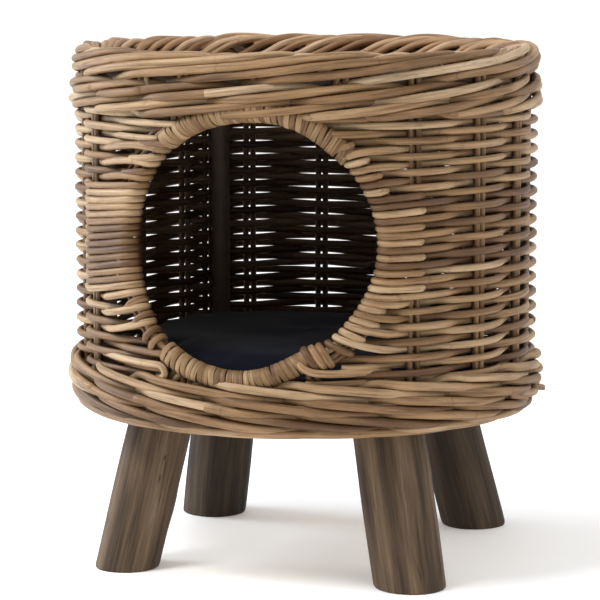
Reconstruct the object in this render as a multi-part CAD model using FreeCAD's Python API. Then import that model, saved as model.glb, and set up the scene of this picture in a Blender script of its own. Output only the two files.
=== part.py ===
import FreeCAD, Part

import math
import os

# A round woven pet house on four splayed branch-wood legs, with a round doorway in the front.
# Millimetres. The origin is on the floor under the middle of the basket, +Z is up, and the doorway
# faces -Y. Angles round the basket are in degrees from the doorway, positive towards +X.

# Heights above the floor
BOARD_BOTTOM = 150.0
BOARD_TOP = 162.0
BASKET_BOTTOM = 141.0
BASE_BORDER_BOTTOM = 149.0
BASE_BORDER_TOP = 187.0
WALE_BOTTOM = 419.0
WALE_TOP = 445.0
RIM_BOTTOM = 456.0
RIM_TOP = 474.5
PANEL_BOTTOM = 438.0
PANEL_TOP = 450.0
BEARER_HEIGHT = 431.0
BASE_HOOP_HEIGHT = 150.0
TOP_HOOP_HEIGHT = 448.0
STAKE_BOTTOM = 152.0
STAKE_TOP = 462.0

# Radii from the basket's axis
WALL_INNER = 195.0
WALL_OUTER = 215.0
STAKE_CIRCLE = 205.0
HOOP_CIRCLE = 194.0
POST_CIRCLE = 190.0
BASE_BORDER_INNER = 198.0
BASE_BORDER_OUTER = 222.0
WALE_INNER = 193.0
WALE_OUTER = 219.0
RIM_INNER = 190.0
RIM_OUTER = 215.0
FOOT_BORDER_CIRCLE = 208.5
BOARD_RADIUS = 185.5
PANEL_RADIUS = 185.5

# Roundings of the woven bands' edges
BASE_BORDER_ROUNDING = 5.0
WALE_ROUNDING = 4.0
RIM_ROUNDING = 7.0

# Lengths past every piece, for the shapes that only cut
CLEAR = 300.0

# Rods and poles
POST_DIAMETER = 18.0
HOOP_DIAMETER = 16.0
BEARER_DIAMETER = 14.0
BEARER_OFFSET = 60.0
BEARER_HALF_LENGTH = 181.0
STAKE_DIAMETER = 5.8
STAKE_SPACING = 7.4
FOOT_ROD_DIAMETER = 8.0
POST_ANGLES = {
    "front_left": -58.0,
    "front_right": 46.0,
    "rear_left": -139.0,
    "rear_right": 136.0,
}
STAKE_ANGLES = [-170, -149.5, -137, -129.5, -113.5, -97.5, -81, -65, -52, -29, -16, 3, 23, 41.5]
STAKE_ANGLES += [62.5, 82, 103, 124, 147, 169]

# Doorway
DOOR_HEIGHT = 306.0
DOOR_RADIUS = 107.0
DOOR_BAND = 15.0
DOOR_HOOP_INNER = 112.5
DOOR_HOOP_OUTER = 119.5
BINDING_INNER = 194.5
BINDING_OUTER = 217.0
DOOR_HOOP_FRONT = 209.0
DOOR_HOOP_BACK = 202.0
TOP_BINDING_SPAN = (44.0, 126.0)
LEFT_WRAP_SPAN = (126.0, 228.0)
BOTTOM_BINDING_SPAN = (228.0, 302.0)
RIGHT_WRAP_SPAN = (302.0, 404.0)
WRAP_OUTER = 216.5
LEFT_WRAP_BLOCK = {"from_angle": -53.0, "to_angle": -25.0, "bottom": 246.5, "top": 357.0}
RIGHT_WRAP_BLOCK = {"from_angle": 25.0, "to_angle": 44.7, "bottom": 266.5, "top": 354.0}

# Legs: angle round the basket, radius of the foot's centre, diameter
LEGS = {
    "front_left": {"angle": -48.0, "foot_radius": 185.0, "diameter": 58.0},
    "front_right": {"angle": 44.0, "foot_radius": 188.0, "diameter": 64.0},
    "rear_left": {"angle": -134.0, "foot_radius": 176.0, "diameter": 62.0},
    "rear_right": {"angle": 134.0, "foot_radius": 190.0, "diameter": 60.0},
}
LEG_TOP_RADIUS = 144.0
LEG_EDGE = 3.0
SCREW_DIAMETER = 5.0
SCREW_HEAD_DIAMETER = 10.0
SCREW_LENGTH = 60.0
SCREW_SPACING = 26.0
NAIL_DIAMETER = 2.5
NAIL_LENGTH = 30.0
NAIL_INSET = 4.0

# Cushion
CUSHION_GAP = 0.4
CUSHION_RADIUS = 179.0
CUSHION_ROUNDING = 14.0
CUSHION_EDGE_HEIGHT = 199.0
CUSHION_CROWN = 208.0

UP = FreeCAD.Vector(0, 0, 1)
ORIGIN = FreeCAD.Vector(0, 0, 0)


def around(radius, angle, height):
    """The point at this radius, angle round the basket and height."""
    turn = math.radians(angle)
    return FreeCAD.Vector(radius * math.sin(turn), -radius * math.cos(turn), height)


def rod(start, end, diameter):
    """A straight round rod between two points."""
    along = end - start
    return Part.makeCylinder(diameter / 2, along.Length, start, along)


def tube(inner, outer, bottom, top):
    """A plain upright tube round the basket's axis."""
    base = FreeCAD.Vector(0, 0, bottom)
    height = top - bottom
    return Part.makeCylinder(outer, height, base).cut(Part.makeCylinder(inner, height, base))


def woven_ring(inner, outer, bottom, top, rounding):
    """An upright ring with rounded edges, the outer shape of a band of weaving."""
    ring = tube(inner, outer, bottom, top)
    rims = [e for e in ring.Edges if isinstance(e.Curve, Part.Circle) and e.isClosed()]
    return ring.makeFillet(rounding, rims)


def hoop(circle, diameter, height):
    """A bent pole that closes on itself."""
    return Part.makeTorus(circle, diameter / 2, FreeCAD.Vector(0, 0, height), UP)


def door_bar(radius):
    """A round bar through the front wall on the doorway's axis."""
    return Part.makeCylinder(radius, CLEAR, FreeCAD.Vector(0, 0, DOOR_HEIGHT), FreeCAD.Vector(0, -1, 0))


def door_band(inner, outer, back, front):
    """The band between two radii round the doorway, as deep as the wall between back and front."""
    return door_bar(outer).cut(door_bar(inner)).common(tube(back, front, BASKET_BOTTOM, WALE_TOP))


def door_sector(start_angle, end_angle):
    """The part of the front wall between two angles round the doorway's axis, 0 towards +X."""
    steps = 6
    points = [FreeCAD.Vector(0, 0, DOOR_HEIGHT)]
    for step in range(steps + 1):
        turn = math.radians(start_angle + (end_angle - start_angle) * step / steps)
        points.append(FreeCAD.Vector(CLEAR * math.cos(turn), 0, DOOR_HEIGHT + CLEAR * math.sin(turn)))
    outline = Part.makePolygon(points + [points[0]])
    return Part.Face(outline).extrude(FreeCAD.Vector(0, -CLEAR, 0))


def wall_sector(from_angle, to_angle, bottom, top, outer):
    """A block of the wall between two angles round the basket."""
    middle = (from_angle + to_angle) / 2
    points = [ORIGIN, around(CLEAR, from_angle, 0), around(CLEAR, middle, 0), around(CLEAR, to_angle, 0)]
    wedge = Part.Face(Part.makePolygon(points + [points[0]])).extrude(UP * WALE_TOP)
    return tube(WALL_INNER, outer, bottom, top).common(wedge)


def make_posts():
    """The four upright poles, from the base hoop to the top hoop."""
    bottom = BASE_HOOP_HEIGHT + HOOP_DIAMETER / 2
    top = TOP_HOOP_HEIGHT - HOOP_DIAMETER / 2
    posts = {}
    for place, angle in POST_ANGLES.items():
        foot = around(POST_CIRCLE, angle, bottom)
        posts["post_" + place] = rod(foot, around(POST_CIRCLE, angle, top), POST_DIAMETER)
    return posts


def make_nails():
    """One nail through each hoop into each end of each post."""
    nails = []
    for angle in POST_ANGLES.values():
        for height, direction in ((BASE_HOOP_HEIGHT - NAIL_INSET, 1), (TOP_HOOP_HEIGHT + NAIL_INSET, -1)):
            start = around(POST_CIRCLE, angle, height)
            nails.append(rod(start, start + UP * direction * NAIL_LENGTH, NAIL_DIAMETER))
    return Part.makeCompound(nails)


def make_stakes():
    """Pairs of thin sticks; those that meet the doorway stop at its band."""
    sticks = []
    for angle in STAKE_ANGLES:
        half_step = math.degrees(STAKE_SPACING / 2 / STAKE_CIRCLE)
        for side in (-half_step, half_step):
            foot = around(STAKE_CIRCLE, angle + side, STAKE_BOTTOM)
            head = around(STAKE_CIRCLE, angle + side, STAKE_TOP)
            stick = rod(foot, head, STAKE_DIAMETER)
            sticks += stick.cut(door_bar(DOOR_RADIUS + DOOR_BAND)).Solids
    return Part.makeCompound(sticks)


def make_doorway():
    """The bent hoop of the doorway, its two bindings and the rods wrapped round its sides."""
    ring = door_band(DOOR_HOOP_INNER, DOOR_HOOP_OUTER, DOOR_HOOP_BACK, DOOR_HOOP_FRONT)
    band = door_band(DOOR_RADIUS, DOOR_RADIUS + DOOR_BAND, BINDING_INNER, BINDING_OUTER).cut(ring)
    clear = door_bar(DOOR_RADIUS + DOOR_BAND)
    parts = {
        "door_ring": ring,
        "door_binding_top": band.common(door_sector(*TOP_BINDING_SPAN)),
        "door_binding_bottom": band.common(door_sector(*BOTTOM_BINDING_SPAN)),
    }
    for side, span, block in (
        ("left", LEFT_WRAP_SPAN, LEFT_WRAP_BLOCK),
        ("right", RIGHT_WRAP_SPAN, RIGHT_WRAP_BLOCK),
    ):
        rows = wall_sector(outer=WRAP_OUTER, **block).cut(clear)
        wrap = band.common(door_sector(*span)).fuse(rows)
        parts["door_wrap_" + side] = wrap.removeSplitter()
    return parts


def make_leg(angle, foot_radius, diameter):
    """A round branch leaning outwards, sawn flat on the floor and under the board."""
    foot = around(foot_radius, angle, 0)
    head = around(LEG_TOP_RADIUS, angle, BOARD_BOTTOM)
    along = (head - foot).normalize()
    stem = Part.makeCylinder(diameter / 2, CLEAR, foot - along * diameter, along)
    slab = Part.makeCylinder(CLEAR, BOARD_BOTTOM)
    leg = stem.common(slab)
    foot_edges = [e for e in leg.Edges if e.BoundBox.ZMax < 0.01]
    return leg.makeChamfer(LEG_EDGE, foot_edges)


def make_leg_screws():
    """Two countersunk wood screws down through the board into each leg."""
    screws = []
    head_height = (SCREW_HEAD_DIAMETER - SCREW_DIAMETER) / 2
    for leg in LEGS.values():
        for side in (-SCREW_SPACING / 2, SCREW_SPACING / 2):
            middle = around(LEG_TOP_RADIUS, leg["angle"], BOARD_TOP)
            across = around(side, leg["angle"] + 90, 0)
            top = middle + across
            shank = rod(top - UP * SCREW_LENGTH, top, SCREW_DIAMETER)
            under_head = top - UP * head_height
            head = Part.makeCone(SCREW_DIAMETER / 2, SCREW_HEAD_DIAMETER / 2, head_height, under_head)
            screws.append(shank.fuse(head).removeSplitter())
    return Part.makeCompound(screws)


def make_bearers():
    """Two poles that carry the top panel, side by side from front to back."""
    bearers = {}
    for side, x in (("left", -BEARER_OFFSET), ("right", BEARER_OFFSET)):
        front = FreeCAD.Vector(x, -BEARER_HALF_LENGTH, BEARER_HEIGHT)
        back = FreeCAD.Vector(x, BEARER_HALF_LENGTH, BEARER_HEIGHT)
        bearers["top_bearer_" + side] = rod(front, back, BEARER_DIAMETER)
    return bearers


def make_cushion():
    """A round crowned cushion: a flat underside, rounded sides and a domed top."""
    bottom = BOARD_TOP + CUSHION_GAP
    dome = CUSHION_CROWN - CUSHION_EDGE_HEIGHT
    dome_radius = (CUSHION_RADIUS**2 + dome**2) / (2 * dome)
    ball = Part.makeSphere(dome_radius, FreeCAD.Vector(0, 0, CUSHION_CROWN - dome_radius))
    disc = Part.makeCylinder(CUSHION_RADIUS, CUSHION_CROWN - bottom, FreeCAD.Vector(0, 0, bottom))
    pad = disc.common(ball)
    rims = [e for e in pad.Edges if e.Length > CUSHION_RADIUS and e.BoundBox.ZLength < 1]
    return pad.makeFillet(CUSHION_ROUNDING, rims)


def make_parts():
    """Every piece by name."""
    posts = make_posts()
    doorway = make_doorway()
    base_hoop = hoop(HOOP_CIRCLE, HOOP_DIAMETER, BASE_HOOP_HEIGHT)
    top_hoop = hoop(HOOP_CIRCLE, HOOP_DIAMETER, TOP_HOOP_HEIGHT)
    in_the_weave = list(posts.values()) + [base_hoop, top_hoop]
    door_parts = [doorway["door_wrap_left"], doorway["door_wrap_right"], door_bar(DOOR_RADIUS + DOOR_BAND)]

    def woven(shape):
        """Weaving, open where the frame and the doorway pass through it."""
        for piece in in_the_weave + door_parts:
            shape = shape.cut(piece)
        return shape

    def notched(disc):
        """A round board with a notch where each post passes its edge."""
        for post in posts.values():
            disc = disc.cut(post)
        return disc

    board = Part.makeCylinder(BOARD_RADIUS, BOARD_TOP - BOARD_BOTTOM, UP * BOARD_BOTTOM)
    panel = Part.makeCylinder(PANEL_RADIUS, PANEL_TOP - PANEL_BOTTOM, UP * PANEL_BOTTOM)
    base_band = woven_ring(
        BASE_BORDER_INNER, BASE_BORDER_OUTER, BASE_BORDER_BOTTOM, BASE_BORDER_TOP, BASE_BORDER_ROUNDING
    )
    wale_band = woven_ring(WALE_INNER, WALE_OUTER, WALE_BOTTOM, WALE_TOP, WALE_ROUNDING)

    wraps = {}
    for name in ("door_wrap_left", "door_wrap_right"):
        wraps[name] = doorway[name]
        for post in posts.values():
            wraps[name] = wraps[name].cut(post)

    parts = {
        "base_board": notched(board),
        "base_hoop": base_hoop,
        "top_hoop": top_hoop,
        "frame_nails": make_nails(),
        "stakes": make_stakes(),
        "wall_weave": woven(tube(WALL_INNER, WALL_OUTER, BASE_BORDER_TOP, WALE_BOTTOM)),
        "foot_border": hoop(FOOT_BORDER_CIRCLE, FOOT_ROD_DIAMETER, BASKET_BOTTOM + FOOT_ROD_DIAMETER / 2),
        "base_border": woven(base_band),
        "upper_wale": woven(wale_band),
        "top_border": woven_ring(RIM_INNER, RIM_OUTER, RIM_BOTTOM, RIM_TOP, RIM_ROUNDING),
        "top_panel": notched(panel),
        "leg_screws": make_leg_screws(),
        "cushion": make_cushion(),
    }
    parts.update(posts)
    parts.update(doorway)
    parts.update(wraps)
    parts.update(make_bearers())
    for place, leg in LEGS.items():
        parts["leg_" + place] = make_leg(**leg)
    return parts


def main():
    """Writes each piece to parts/NAME.step."""
    os.makedirs("parts", exist_ok=True)
    for name, shape in make_parts().items():
        box = shape.BoundBox
        print(
            f"{name}: {len(shape.Solids)} solid, valid {shape.isValid()}, volume {shape.Volume:.0f}, "
            f"x {box.XMin:.1f}..{box.XMax:.1f}, y {box.YMin:.1f}..{box.YMax:.1f}, z {box.ZMin:.1f}..{box.ZMax:.1f}"
        )
        shape.exportStep(f"parts/{name}.step")


main()
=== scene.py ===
import math

import bmesh
import bpy
import numpy as np
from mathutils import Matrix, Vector


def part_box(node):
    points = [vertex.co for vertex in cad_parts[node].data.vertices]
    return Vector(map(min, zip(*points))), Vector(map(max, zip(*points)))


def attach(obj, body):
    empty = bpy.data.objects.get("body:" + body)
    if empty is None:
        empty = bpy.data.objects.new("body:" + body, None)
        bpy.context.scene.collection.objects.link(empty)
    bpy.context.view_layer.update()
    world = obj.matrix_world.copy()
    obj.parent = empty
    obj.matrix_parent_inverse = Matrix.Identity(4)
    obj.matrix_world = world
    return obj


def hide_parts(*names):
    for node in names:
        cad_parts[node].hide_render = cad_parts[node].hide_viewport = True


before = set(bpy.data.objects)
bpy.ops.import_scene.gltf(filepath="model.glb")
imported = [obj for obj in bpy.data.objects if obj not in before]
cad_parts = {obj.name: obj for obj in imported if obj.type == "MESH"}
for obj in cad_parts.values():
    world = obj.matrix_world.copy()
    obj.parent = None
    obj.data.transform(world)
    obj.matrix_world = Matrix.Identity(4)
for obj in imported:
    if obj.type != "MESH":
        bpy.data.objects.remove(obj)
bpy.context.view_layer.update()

# The wicker pet house: metres, origin on the floor, the doorway faces -Y, angles run from the doorway
# towards +X. Heights and radii come from the CAD nodes' boxes.

MM = 0.001
TURN = 2 * math.pi
BASKET = "basket"
GRAIN_RADIUS = 3.5 * MM


def low(node):
    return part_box(node)[0]


def high(node):
    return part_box(node)[1]


FOOT_BOTTOM = low("foot_border").z
BORDER_BOTTOM = low("base_border").z
BORDER_TOP = high("base_border").z
BORDER_OUTER = high("base_border").x
WALE_BOTTOM = low("upper_wale").z
WALE_TOP = high("upper_wale").z
WALE_OUTER = high("upper_wale").x
RIM_BOTTOM = low("top_border").z
RIM_TOP = high("top_border").z
RIM_OUTER = high("top_border").x
PANEL_TOP = high("top_panel").z
PANEL_BOTTOM = low("top_panel").z
PANEL_RADIUS = high("top_panel").x
WALL_OUTER = high("wall_weave").x
WALL_MIDDLE = WALL_OUTER - 10 * MM
DOOR_HEIGHT = (low("door_ring").z + high("door_ring").z) / 2
DOOR_HOOP_RADIUS = (high("door_ring").z - low("door_ring").z) / 2 - 3.5 * MM

POSTS = ["post_front_left", "post_front_right", "post_rear_left", "post_rear_right"]

# The upright sticks' places in degrees. The two beside the doorway are bowed round it, and the two short
# ones only show above and below it.
DOOR_STAKES = {"right": 23, "left": -29}
SHORT_STAKES = [-16, 3]
WALL_STAKES = [41.5, 62.5, 82, 103, 124, 147, 169, 190, 210.5, 223, 230.5, 246.5, 262.5, 279, 295, 308]
STICK = 2.9 * MM
STICK_SPACING = 7.4 * MM
BANDS = 18

ROW_PITCH = 6.7 * MM
FIRST_ROW = 2.5 * MM
ROD = 3.45 * MM
BOW_REACH = 121 * MM
WEAVE_DEPTH = STICK + ROD
PIPING = 2.3 * MM

# Rows that wrap round the doorway's hoop, counted from the lowest row, and those whose loops lie close
LEFT_WRAPS = range(3, 31)
RIGHT_WRAPS = range(3, 32)
LEFT_BLOCK = range(10, 25)
RIGHT_BLOCK = range(11, 25)

# How far from the doorway's middle the rows below the hoop end, on its left and on its right
LOW_ENDS = [(76 * MM, 51 * MM), (76 * MM, 51 * MM), (92 * MM, 80 * MM)]


# ---------------------------------------------------------------- tubes

def wall_point(radius, angle, height):
    """Points at this radius, angle round the basket and height, as rows of x, y, z."""
    radius, angle, height = np.broadcast_arrays(radius, angle, height)
    return np.stack([radius * np.sin(angle), -radius * np.cos(angle), height], -1)


def unit(vectors):
    return vectors / np.maximum(np.linalg.norm(vectors, axis=-1, keepdims=True), 1e-12)


def carried_normals(points, tangents, closed):
    """A normal at each point that turns as little as it can along the line."""
    start = np.array([0.0, 0.0, 1.0])
    if abs(tangents[0] @ start) > 0.8:
        start = np.array([1.0, 0.0, 0.0])
    normal = unit(start - (start @ tangents[0]) * tangents[0])
    normals = [normal]
    for i in range(1, len(points)):
        step = points[i] - points[i - 1]
        length = max(step @ step, 1e-18)
        mirrored = normal - (2 / length) * (step @ normal) * step
        turned = tangents[i - 1] - (2 / length) * (step @ tangents[i - 1]) * step
        change = tangents[i] - turned
        size = max(change @ change, 1e-18)
        normal = unit(mirrored - (2 / size) * (change @ mirrored) * change)
        normals.append(normal)
    normals = np.array(normals)
    if closed:
        across = np.cross(tangents[0], normals[0])
        end = normals[-1]
        twist = math.atan2(end @ across, end @ normals[0])
        share = -twist * np.arange(len(points)) / len(points)
        sides = np.cross(tangents, normals)
        normals = normals * np.cos(share)[:, None] + sides * np.sin(share)[:, None]
    return normals


class Bundle:
    """Rods gathered into one mesh. Each point keeps its length along its rod, its side, its rod's tone and
    how far it faces the basket's axis, which the rattan material turns into painted shade.
    """

    def __init__(self, seed):
        self.random = np.random.default_rng(seed)
        self.points, self.faces = [], []
        self.grain, self.tone, self.inner = [], [], []
        self.count = 0

    def add(
        self, path, half_width, half_height=None, sides=8, closed=False,
        normals=None, tone=None, wobble=0.05, square=1.0,
    ):
        """A rod along path. half_height runs along the normals, half_width across them. A small square makes
        a flat strip with rounded edges out of the round section."""
        path = np.asarray(path, float)
        n = len(path)
        if closed:
            tangents = unit(np.roll(path, -1, 0) - np.roll(path, 1, 0))
        else:
            tangents = unit(np.gradient(path, axis=0))
        if normals is None:
            normals = carried_normals(path, tangents, closed)
        else:
            normals = unit(normals - (normals * tangents).sum(-1, keepdims=True) * tangents)
        across = np.cross(tangents, normals)
        width = np.broadcast_to(half_width, n)
        height = width if half_height is None else np.broadcast_to(half_height, n)
        turn = (np.arange(sides) + 0.5) * TURN / sides
        high_part = np.sign(np.cos(turn)) * np.abs(np.cos(turn)) ** square
        wide_part = np.sign(np.sin(turn)) * np.abs(np.sin(turn)) ** square
        lumps = 1 + wobble * self.smooth_noise(n, sides, closed)
        ring = (
            path[:, None, :]
            + (normals * height[:, None])[:, None, :] * (high_part[None, :] * lumps)[..., None]
            + (across * width[:, None])[:, None, :] * (wide_part[None, :] * lumps)[..., None]
        )
        outwards = unit(path * np.array([1, 1, 0]))
        inward = -((ring - path[:, None, :]) * outwards[:, None, :]).sum(-1) / width[:, None]
        length = np.concatenate([[0], np.cumsum(np.linalg.norm(np.diff(path, axis=0), axis=1))])
        offset = self.random.uniform(0, 40)
        base = self.count
        around = np.stack([np.cos(turn), np.sin(turn)], -1)
        grain = np.zeros((n, sides, 3))
        grain[..., 0] = (length + offset)[:, None]
        grain[..., 1] = around[None, :, 0] * GRAIN_RADIUS + offset
        grain[..., 2] = around[None, :, 1] * GRAIN_RADIUS
        tone = self.random.uniform(0, 1) if tone is None else tone
        self.points.append(ring.reshape(-1, 3))
        self.grain.append(grain.reshape(-1, 3))
        self.tone.append(np.full(n * sides, tone))
        # How far each point faces the basket's axis: the rattan material paints shade on these faces to
        # darken the cabin
        self.inner.append(np.clip((inward.reshape(-1) + 0.1) / 0.6, 0, 1))
        rows = np.arange(n if closed else n - 1)[:, None]
        cols = np.arange(sides)[None, :]
        after, beside = (rows + 1) % n, (cols + 1) % sides
        quads = np.stack(
            [rows * sides + cols, rows * sides + beside, after * sides + beside, after * sides + cols], -1
        )
        self.faces += (quads.reshape(-1, 4) + base).tolist()
        self.count += n * sides
        if not closed:
            dome = 0.35
            last = base + (n - 1) * sides
            self.cap(path[0] - tangents[0] * width[0] * dome, base, sides, grain[0, 0], tone, True)
            self.cap(path[-1] + tangents[-1] * width[-1] * dome, last, sides, grain[-1, 0], tone, False)

    def cap(self, tip, base, sides, grain, tone, first):
        self.points.append(tip[None, :])
        self.grain.append(grain[None, :])
        self.tone.append(np.array([tone]))
        self.inner.append(np.array([0.0]))
        for i in range(sides):
            pair = (base + i, base + (i + 1) % sides)
            self.faces.append([self.count, pair[1], pair[0]] if first else [self.count, pair[0], pair[1]])
        self.count += 1

    def smooth_noise(self, n, sides, closed):
        """Gentle unevenness of a rod's section, from two waves with random places."""
        run = np.arange(n)[:, None] / max(n, 1) * (TURN if closed else 1)
        side = np.arange(sides)[None, :] * TURN / sides
        total = np.zeros((n, sides))
        for _ in range(2):
            waves = self.random.integers(1, 4)
            cycles = self.random.integers(2, max(3, n // 8 + 3))
            start = self.random.uniform(0, TURN, 2)
            along = np.sin(run * cycles * (1 if closed else TURN) + start[0])
            total += along * np.cos(waves * side + start[1])
        return total * 0.5

    def build(self, name, material, body=BASKET):
        layers = {"grain": self.grain, "tone": self.tone, "inner": self.inner}
        layers = {key: np.concatenate(parts) for key, parts in layers.items()}
        return new_piece(name, np.concatenate(self.points), self.faces, layers, material, body)


def new_piece(name, points, faces, layers, material, body=BASKET):
    """A smooth-shaded mesh that rides on its body, with its layers as point attributes."""
    mesh = bpy.data.meshes.new(name)
    mesh.from_pydata(points.tolist(), [], faces)
    for key, values in layers.items():
        kind, field = ("FLOAT_VECTOR", "vector") if values.ndim == 2 else ("FLOAT", "value")
        layer = mesh.attributes.new(key, kind, "POINT")
        layer.data.foreach_set(field, values.astype(np.float32).ravel())
    mesh.polygons.foreach_set("use_smooth", [True] * len(mesh.polygons))
    mesh.materials.append(material)
    mesh.update()
    piece = bpy.data.objects.new(name, mesh)
    bpy.context.scene.collection.objects.link(piece)
    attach(piece, body)
    return piece


def ripple(random, run, size, longest):
    """A smooth random shift along a run of lengths or angles."""
    total = np.zeros_like(np.asarray(run, float))
    for k in range(1, 4):
        total += np.sin(run * TURN * k / longest + random.uniform(0, TURN)) * random.uniform(0.4, 1) / k
    return total * size * 0.6


def cycle(u, knots, period):
    """A smooth closed curve through knots of (place, value, ...), read at u."""
    places = np.array([k[0] for k in knots])
    values = np.array([k[1:] for k in knots], float)
    count = len(places)
    slopes = np.zeros_like(values)
    for i in range(count):
        before, after = (i - 1) % count, (i + 1) % count
        gap = (places[after] - places[before]) % period
        slopes[i] = (values[after] - values[before]) / gap
    u = np.mod(u - places[0], period) + places[0]
    index = np.clip(np.searchsorted(places, u, side="right") - 1, 0, count - 1)
    after = (index + 1) % count
    gap = np.mod(places[after] - places[index], period)
    t = ((u - places[index]) / gap)[:, None]
    gap = gap[:, None]
    start, end = values[index], values[after]
    return (
        (2 * t**3 - 3 * t**2 + 1) * start
        + (t**3 - 2 * t**2 + t) * gap * slopes[index]
        + (3 * t**2 - 2 * t**3) * end
        + (t**3 - t**2) * gap * slopes[after]
    )


# ---------------------------------------------------------------- materials

def new_material(name):
    material = bpy.data.materials.new(name)
    material.use_nodes = True
    return material, material.node_tree


def complete(material, colour, uniform, height=None, strength=1.0, distance=1 * MM):
    """Joins colour and bump to the shader, and sets its uniform values on their own sockets."""
    tree = material.node_tree
    shader = tree.nodes["Principled BSDF"]
    tree.links.new(colour, shader.inputs["Base Color"])
    for socket, value in uniform.items():
        shader.inputs[socket].default_value = value
    if height is not None:
        made = node(tree, "ShaderNodeBump", {"Strength": strength, "Distance": distance, "Height": height})
        tree.links.new(made.outputs[0], shader.inputs["Normal"])
    return material


def node(tree, kind, inputs=(), **settings):
    made = tree.nodes.new(kind)
    for key, value in settings.items():
        setattr(made, key, value)
    for key, value in dict(inputs).items():
        if isinstance(value, bpy.types.NodeSocket):
            tree.links.new(value, made.inputs[key])
        else:
            made.inputs[key].default_value = value
    return made


def maths(tree, operation, a, b=0.0, c=0.0):
    return node(tree, "ShaderNodeMath", {0: a, 1: b, 2: c}, operation=operation).outputs[0]


def ramp(tree, factor, stops):
    made = node(tree, "ShaderNodeValToRGB", {"Fac": factor})
    elements = made.color_ramp.elements
    elements[0].position, elements[0].color = stops[0][0], (*stops[0][1], 1)
    elements[1].position, elements[1].color = stops[-1][0], (*stops[-1][1], 1)
    for place, colour in stops[1:-1]:
        element = elements.new(place)
        element.color = (*colour, 1)
    return made.outputs["Color"]


def mix(tree, factor, a, b, blend="MIX"):
    return node(
        tree, "ShaderNodeMix", {0: factor, 6: a, 7: b}, data_type="RGBA", blend_type=blend
    ).outputs[2]


def stretched(tree, vector, scale):
    return node(tree, "ShaderNodeMapping", {"Vector": vector, "Scale": scale}).outputs[0]


def noise(tree, vector, scale, detail=3.0, rough=0.55):
    return node(
        tree, "ShaderNodeTexNoise", {"Vector": vector, "Scale": scale, "Detail": detail, "Roughness": rough}
    ).outputs["Fac"]


def reading(tree, layer, output="Fac"):
    return node(tree, "ShaderNodeAttribute", attribute_name=layer).outputs[output]


def mapped(tree, value, ends, results):
    """value, mapped from one pair of ends to another and clamped."""
    names = ("Value", "From Min", "From Max", "To Min", "To Max")
    return node(tree, "ShaderNodeMapRange", zip(names, (value, *ends, *results))).outputs[0]


def shaded(tree, colour, amount, factor, stops):
    """The colour multiplied by a ramp of shades, mixed in by this amount."""
    return mix(tree, amount, colour, mix(tree, 1.0, colour, ramp(tree, factor, stops), "MULTIPLY"))


def rattan(name, tones, streaks=0.35, rings=True, roughness=0.52, bump=0.35, inside=0.25):
    """Cane: tone by rod, long streaks, blotches, stains and node rings. Faces towards the basket's axis get
    painted
    shade: their colour is darkened to the share inside, to keep the cabin dark."""
    material, tree = new_material(name)
    grain = reading(tree, "grain", "Vector")
    tone = reading(tree, "tone")
    blotch = noise(tree, stretched(tree, grain, (14, 90, 90)), 1.0, 4.0)
    tone_here = maths(tree, "ADD", tone, maths(tree, "MULTIPLY", maths(tree, "SUBTRACT", blotch, 0.5), 1.1))
    colour = ramp(tree, tone_here, tones)
    fibre = noise(tree, stretched(tree, grain, (25, 1500, 1500)), 1.0, 3.0, 0.65)
    fibre_mask = maths(tree, "MULTIPLY", maths(tree, "SUBTRACT", fibre, 0.42), 3.0)
    fibre_mask = node(tree, "ShaderNodeClamp", {"Value": fibre_mask}).outputs[0]
    streak_shades = [(0.0, (0.60, 0.52, 0.45)), (0.55, (1, 1, 1)), (1.0, (1.12, 1.12, 1.12))]
    colour = shaded(tree, colour, streaks, fibre_mask, streak_shades)
    furrow = noise(tree, stretched(tree, grain, (16, 380, 380)), 1.0, 3.0, 0.6)
    worn_shades = [(0.36, (0.50, 0.42, 0.34)), (0.50, (1, 1, 1)), (0.70, (1.22, 1.20, 1.16))]
    colour = shaded(tree, colour, 0.8, furrow, worn_shades)
    stain = noise(tree, stretched(tree, grain, (60, 300, 300)), 1.0, 2.0)
    stain_mask = ramp(tree, stain, [(0.60, BLACK), (0.78, WHITE)])
    colour = mix(tree, maths(tree, "MULTIPLY", stain_mask, 0.5), colour, (0.085, 0.048, 0.024, 1))
    height = maths(tree, "ADD", maths(tree, "MULTIPLY", fibre, 0.5), maths(tree, "MULTIPLY", furrow, 0.9))
    if rings:
        along = node(tree, "ShaderNodeSeparateXYZ", {0: grain}).outputs[0]
        uneven = noise(tree, stretched(tree, grain, (6, 300, 300)), 1.0, 1.0)
        along = maths(tree, "ADD", along, maths(tree, "MULTIPLY", uneven, 0.008))
        place = maths(tree, "PINGPONG", maths(tree, "MULTIPLY", along, 1.0 / 0.21), 0.5)
        ring = mapped(tree, place, (0.0, 0.0075), (1.0, 0.0))
        patches = noise(tree, stretched(tree, grain, (3, 3, 3)), 1.0, 0.0)
        some = ramp(tree, patches, [(0.44, BLACK), (0.56, WHITE)])
        ring = maths(tree, "MULTIPLY", maths(tree, "MULTIPLY", ring, 0.55), some)
        colour = mix(tree, ring, colour, (0.10, 0.058, 0.034, 1))
        height = maths(tree, "SUBTRACT", height, maths(tree, "MULTIPLY", ring, 0.6))
    # Painted shade: faces turned towards the basket's axis are darkened to the share inside, standing in for
    # the cabin's shade
    inside_painted_shade = mix(tree, 1.0, colour, (inside, inside * 0.92, inside * 0.88, 1), "MULTIPLY")
    colour = mix(tree, reading(tree, "inner"), colour, inside_painted_shade)
    rough = mapped(tree, blotch, (0.0, 1.0), (roughness - 0.10, roughness + 0.12))
    tree.links.new(rough, tree.nodes["Principled BSDF"].inputs["Roughness"])
    return complete(material, colour, {"Specular IOR Level": 0.34}, height, bump, 0.6 * MM)


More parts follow.
